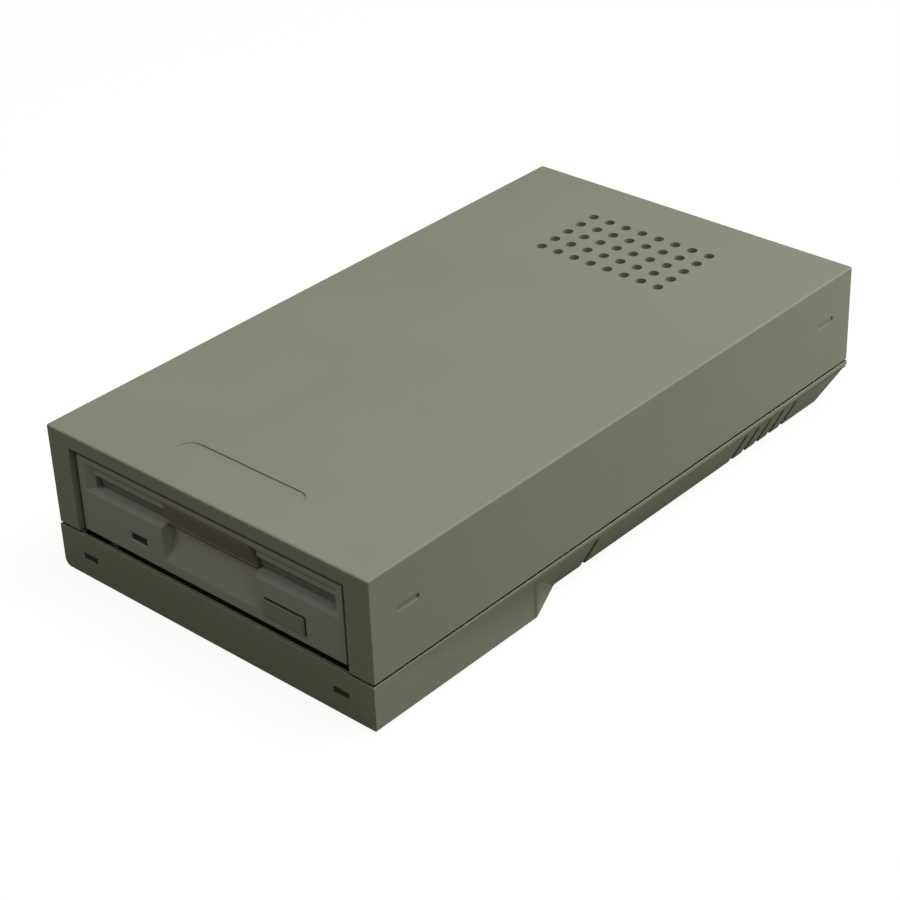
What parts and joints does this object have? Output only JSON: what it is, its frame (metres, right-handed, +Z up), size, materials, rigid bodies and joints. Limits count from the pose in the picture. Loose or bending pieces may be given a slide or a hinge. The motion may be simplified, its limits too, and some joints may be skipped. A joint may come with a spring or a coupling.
{
  "type": "external floppy disk drive",
  "caption": "Flat desktop case with a 3.5-inch floppy mechanism: dust flap, eject button, parallel ports at the rear.",
  "frame": {"origin": "middle of the case outline on the surface that the feet stand on", "axes": "+Z up, +Y from the front bezel to the rear ports, +X to the right seen from the front"},
  "size_m": [0.12, 0.2106, 0.0468],
  "materials": {
    "case_plastic": "fine moulded texture, warm grey-beige",
    "bezel_plastic": "fine moulded texture, cooler grey",
    "flap_plastic": "fine moulded texture, aged beige",
    "button_plastic": "smooth moulded",
    "green_lens": "dark unlit green",
    "amber_lens": "dark unlit amber",
    "rubber": "matte black",
    "zinc_steel": "zinc-plated",
    "bright_steel": "ground",
    "cast_frame": "die-cast",
    "circuit_board": "solder mask",
    "chip_black": "moulded epoxy",
    "connector_black": "moulded",
    "gold_contact": "plated",
    "cable_grey": "PVC",
    "cable_red": "PVC",
    "coil_copper": "enamelled wire",
    "bearing_bronze": "sintered",
    "black_plastic": "moulded",
    "white_plastic": "moulded",
    "can_metal": "sleeved can"
  },
  "bodies": {
    "case": {"activity_led": "green_lens", "board_screws": "zinc_steel", "bottom_case": "case_plastic", "capacitors": "can_metal", "case_screws": "zinc_steel", "computer_port": "zinc_steel", "controller_chip": "chip_black", "crystal": "can_metal", "drive_bezel": "bezel_plastic", "drive_board": "circuit_board", "drive_chassis": "cast_frame", "drive_connectors": "connector_black", "drive_header": "connector_black", "drive_power_lead": "cable_red", "drive_screws": "zinc_steel", "drive_top_plate": "zinc_steel", "front_leds": "white_plastic", "guide_rod": "bright_steel", "jack_leads": "cable_red", "jack_nut": "zinc_steel", "jackscrews": "zinc_steel", "logic_chips": "chip_black", "main_board": "circuit_board", "motor_board": "circuit_board", "port_pins": "gold_contact", "power_header": "white_plastic", "power_jack": "black_plastic", "power_lens": "amber_lens", "printer_port": "zinc_steel", "ready_lens": "green_lens", "rear_panel": "zinc_steel", "ribbon_cable": "cable_grey", "ribbon_plugs": "connector_black", "rubber_feet": "rubber", "slide_spring": "bright_steel", "spindle_bearing": "bearing_bronze", "stator_coils": "coil_copper", "stepper_motor": "zinc_steel", "top_cover": "case_plastic", "top_plate_screws": "zinc_steel", "voltage_regulator": "chip_black"},
    "flap": {"dust_flap": "flap_plastic", "flap_spring": "bright_steel"},
    "slide": {"slide_plate": "zinc_steel", "eject_button": "button_plastic"},
    "carrier": {"disk_carrier": "zinc_steel"},
    "lever": {"shutter_lever": "white_plastic"},
    "spindle": {"spindle_rotor": "zinc_steel", "spindle_hub": "bright_steel"},
    "screw": {"lead_screw": "bright_steel"},
    "carriage": {"head_carriage": "black_plastic", "lower_head": "white_plastic"},
    "arm": {"upper_arm": "black_plastic", "upper_head": "white_plastic", "arm_spring": "bright_steel"}
  },
  "joints": [
    {"name": "dust_flap_hinge", "type": "hinge", "parent": "case", "child": "flap", "pos_m": [0, -0.09995, 0.038], "axis": [1, 0, 0], "range_deg": [0, 85], "stiffness_Nm_per_rad": 0.002},
    {"name": "eject_slide", "type": "slide", "parent": "case", "child": "slide", "axis": [0, -1, 0], "range_m": [-0.0008, 0.005], "stiffness_N_per_m": 200, "deforming": ["slide_spring"]},
    {"name": "carrier_lift", "type": "slide", "parent": "case", "child": "carrier", "axis": [0, 0, 1], "range_m": [-0.0026, 0.0005]},
    {"name": "shutter_lever_hinge", "type": "hinge", "parent": "case", "child": "lever", "pos_m": [0.036, 0.00075, 0.0322], "axis": [0, 0, -1], "range_deg": [0, 22], "stiffness_Nm_per_rad": 0.002},
    {"name": "spindle_spin", "type": "hinge", "parent": "case", "child": "spindle", "pos_m": [0, -0.05325, 0.0245], "axis": [0, 0, 1], "continuous": true},
    {"name": "head_slide", "type": "slide", "parent": "case", "child": "carriage", "axis": [0, -1, 0], "range_m": [0, 0.0148]},
    {"name": "lead_screw_turn", "type": "hinge", "parent": "case", "child": "screw", "pos_m": [-0.014, -0.00525, 0.0255], "axis": [0, 1, 0], "range_deg": [0, 1430]},
    {"name": "upper_arm_hinge", "type": "hinge", "parent": "carriage", "child": "arm", "pos_m": [0, 0.01025, 0.0379], "axis": [1, 0, 0], "range_deg": [-1.6, 9.6]}
  ],
  "couplings": [
    {"joint": "carrier_lift", "follows": "eject_slide", "ratio": -0.5},
    {"joint": "upper_arm_hinge", "follows": "eject_slide", "rad_per_m": 33.161},
    {"joint": "lead_screw_turn", "follows": "head_slide", "rad_per_m": 1675.5}
  ]
}
